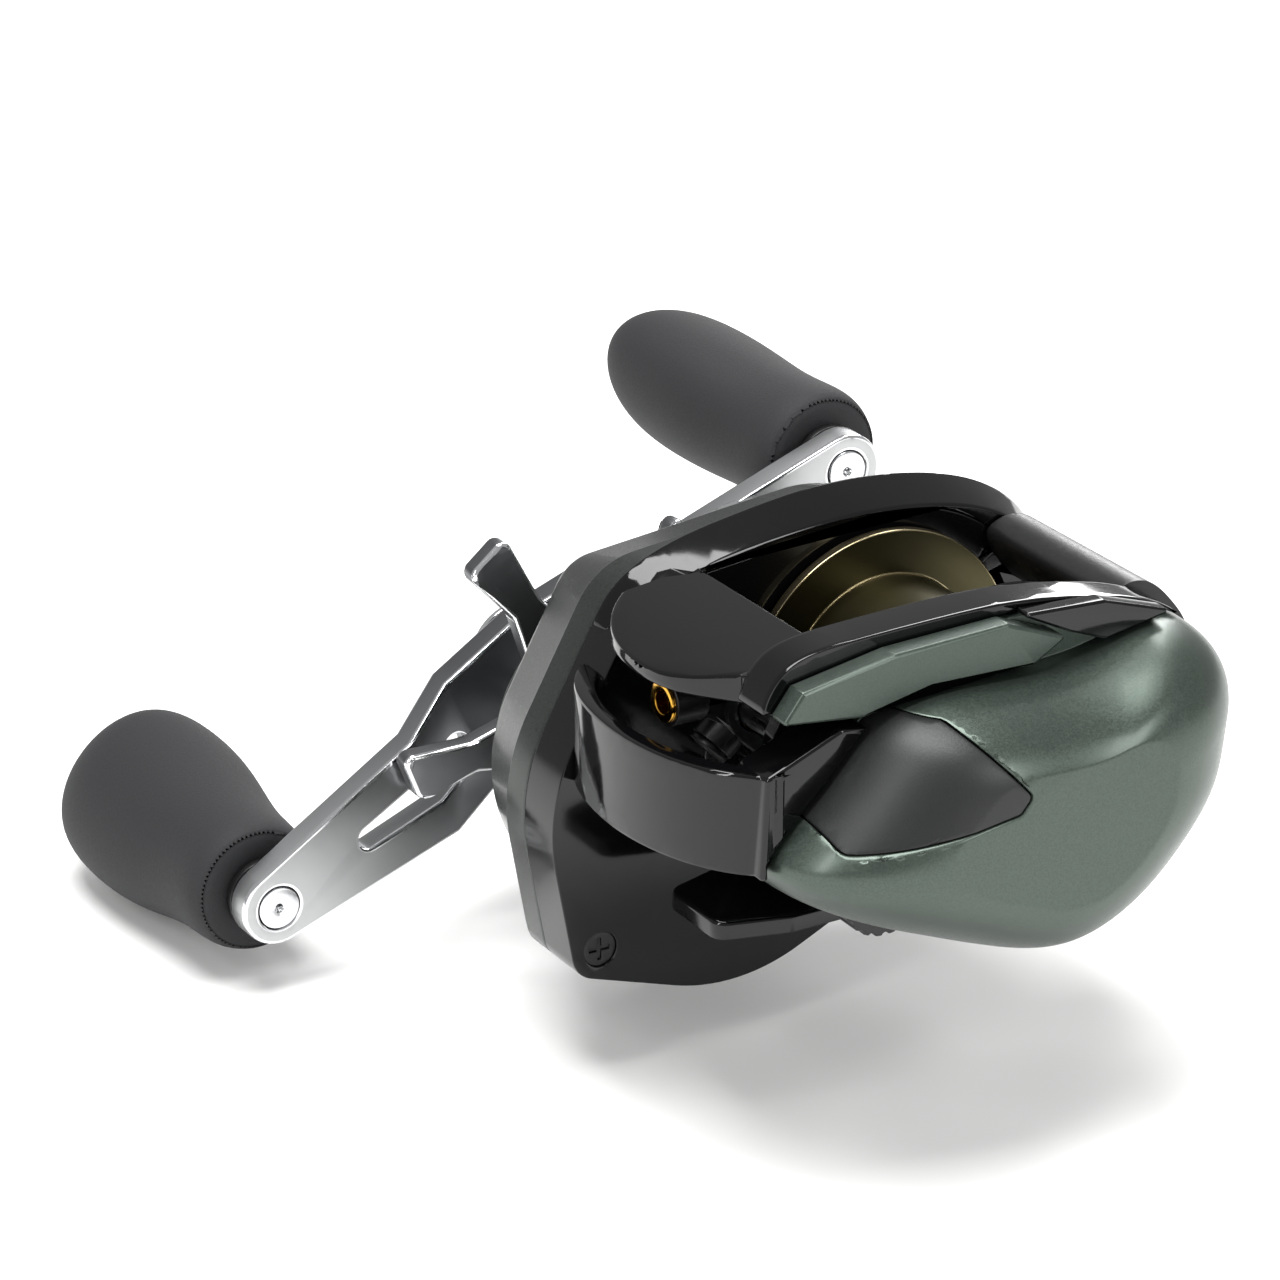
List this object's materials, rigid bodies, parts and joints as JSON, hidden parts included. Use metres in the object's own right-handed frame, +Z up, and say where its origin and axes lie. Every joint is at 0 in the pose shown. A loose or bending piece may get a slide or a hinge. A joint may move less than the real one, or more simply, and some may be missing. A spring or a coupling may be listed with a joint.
{
  "type": "baitcasting reel",
  "caption": "Low-profile baitcasting fishing reel: line spool in a framed body with level wind, star drag, and a cranked double handle with two paddle knobs.",
  "frame": {"origin": "middle of the underside of the reel foot, where it rests on the rod's reel seat", "axes": "+X to the handle side, parallel to the spool axis; +Y along the rod towards its tip; +Z up, away from the rod"},
  "size_m": [0.1222, 0.0946, 0.0605],
  "materials": {
    "frame_black": "gloss black",
    "cover_black": "gloss black",
    "plate_grey": "satin dark grey metallic",
    "palm_green": "satin dark green metallic",
    "panel_grey": "satin dark grey",
    "strip_black": "gloss black",
    "spool_bronze": "dark bronze anodised",
    "steel": "ground",
    "bearing_steel": "polished",
    "brass": "machined",
    "gold_eye": "polished gold",
    "handle_alloy": "polished edges, satin faces",
    "star_alloy": "polished edges, dark satin faces",
    "knob_rubber": "matte dark grey",
    "black_plastic": "matte black",
    "nylon": "natural nylon",
    "carbon_washer": "woven carbon",
    "screw_black": "black oxide"
  },
  "bodies": {
    "frame": {"frame": "frame_black", "side_plate_screws": "screw_black", "top_cover": "cover_black", "front_guard": "cover_black", "guide_tube": "bearing_steel", "guide_rod": "steel", "spool_bearing_handle_side": "bearing_steel", "yoke_posts": "steel", "yoke_springs": "steel", "drive_shaft_bearing": "bearing_steel", "handle_side_plate": "plate_grey", "roller_clutch": "bearing_steel", "outer_drive_bearing": "bearing_steel", "spool_bearing_cap_side": "bearing_steel"},
    "worm": {"worm_shaft": "steel", "worm_gear": "nylon"},
    "line_guide": {"line_guide_carriage": "black_plastic", "line_guide_eye": "gold_eye", "level_wind_pawl": "brass", "pawl_cap": "black_plastic"},
    "spool": {"spool": "spool_bronze", "spool_shaft": "bearing_steel", "brake_wheel": "black_plastic", "brake_weights": "nylon"},
    "yoke": {"clutch_yoke": "black_plastic"},
    "pinion": {"pinion_gear": "brass"},
    "thumb_bar": {"thumb_bar": "black_plastic", "clutch_plate": "steel"},
    "drive": {"drive_shaft": "steel", "level_wind_drive_gear": "nylon", "ratchet_wheel": "steel", "drive_gear": "brass", "drag_washers": "carbon_washer", "drag_key_washer": "steel", "drag_pressure_plate": "steel", "roller_clutch_sleeve": "steel", "drag_spring_washers": "steel", "handle_collar": "steel", "handle_arm": "handle_alloy", "handle_nut": "star_alloy", "nut_retainer": "star_alloy", "retainer_screw": "screw_black", "knob_shafts": "handle_alloy", "knob_washers": "black_plastic"},
    "star": {"star_drag": "star_alloy"},
    "cast_cap": {"cast_control_cap": "star_alloy"},
    "knob_front": {"knob_front": "knob_rubber", "knob_sleeve_front": "black_plastic"},
    "knob_rear": {"knob_rear": "knob_rubber", "knob_sleeve_rear": "black_plastic"},
    "palm": {"palm_side_plate": "palm_green", "palm_panel": "panel_grey", "palm_blade": "palm_green", "palm_strip": "strip_black", "brake_housing": "black_plastic", "housing_screws": "steel", "brake_ring": "steel", "spool_bearing_palm_side": "bearing_steel"},
    "dial": {"brake_dial": "black_plastic"},
    "catch": {"plate_catch_lever": "black_plastic"}
  },
  "joints": [
    {"name": "handle_turn", "type": "hinge", "parent": "frame", "child": "drive", "pos_m": [0, 0.0164, 0.00733], "axis": [1, 0, 0], "continuous": true},
    {"name": "spool_spin", "type": "hinge", "parent": "frame", "child": "spool", "pos_m": [0, -0.0015, 0.0183], "axis": [1, 0, 0], "continuous": true},
    {"name": "yoke_shift", "type": "slide", "parent": "frame", "child": "yoke", "axis": [1, 0, 0], "range_m": [0, 0.0014]},
    {"name": "pinion_spin", "type": "hinge", "parent": "yoke", "child": "pinion", "pos_m": [0, -0.0015, 0.0183], "axis": [1, 0, 0], "continuous": true},
    {"name": "worm_spin", "type": "hinge", "parent": "frame", "child": "worm", "pos_m": [0, 0.02181, 0.02502], "axis": [1, 0, 0], "continuous": true},
    {"name": "line_guide_slide", "type": "slide", "parent": "frame", "child": "line_guide", "axis": [1, 0, 0], "range_m": [-0.0084, 0.0096]},
    {"name": "thumb_bar_press", "type": "slide", "parent": "frame", "child": "thumb_bar", "axis": [0, -0.4226, -0.9063], "range_m": [0, 0.0036]},
    {"name": "star_turn", "type": "hinge", "parent": "drive", "child": "star", "pos_m": [0, 0.0164, 0.00733], "axis": [1, 0, 0], "range_deg": [-180, 180]},
    {"name": "cast_cap_turn", "type": "hinge", "parent": "frame", "child": "cast_cap", "pos_m": [0, -0.0015, 0.0183], "axis": [1, 0, 0], "range_deg": [-180, 180]},
    {"name": "knob_front_spin", "type": "hinge", "parent": "drive", "child": "knob_front", "pos_m": [0, 0.05396, -0.01148], "axis": [1, 0, 0], "continuous": true},
    {"name": "knob_rear_spin", "type": "hinge", "parent": "drive", "child": "knob_rear", "pos_m": [0, -0.02115, 0.02613], "axis": [1, 0, 0], "continuous": true},
    {"name": "palm_plate_off", "type": "slide", "parent": "frame", "child": "palm", "axis": [-1, 0, 0], "range_m": [0, 0.03]},
    {"name": "brake_dial_turn", "type": "hinge", "parent": "palm", "child": "dial", "pos_m": [0, 0.016, 0.0087], "axis": [1, 0, 0], "range_deg": [0, 270]},
    {"name": "catch_lever_swing", "type": "hinge", "parent": "palm", "child": "catch", "pos_m": [0, -0.0111, 0.0047], "axis": [1, 0, 0], "range_deg": [0, 45]}
  ],
  "couplings": [
    {"joint": "spool_spin", "follows": "handle_turn", "ratio": -7.4},
    {"joint": "pinion_spin", "follows": "handle_turn", "ratio": -7.4},
    {"joint": "worm_spin", "follows": "handle_turn", "ratio": -2.0833},
    {"joint": "yoke_shift", "follows": "thumb_bar_press", "ratio": 0.38889}
  ]
}
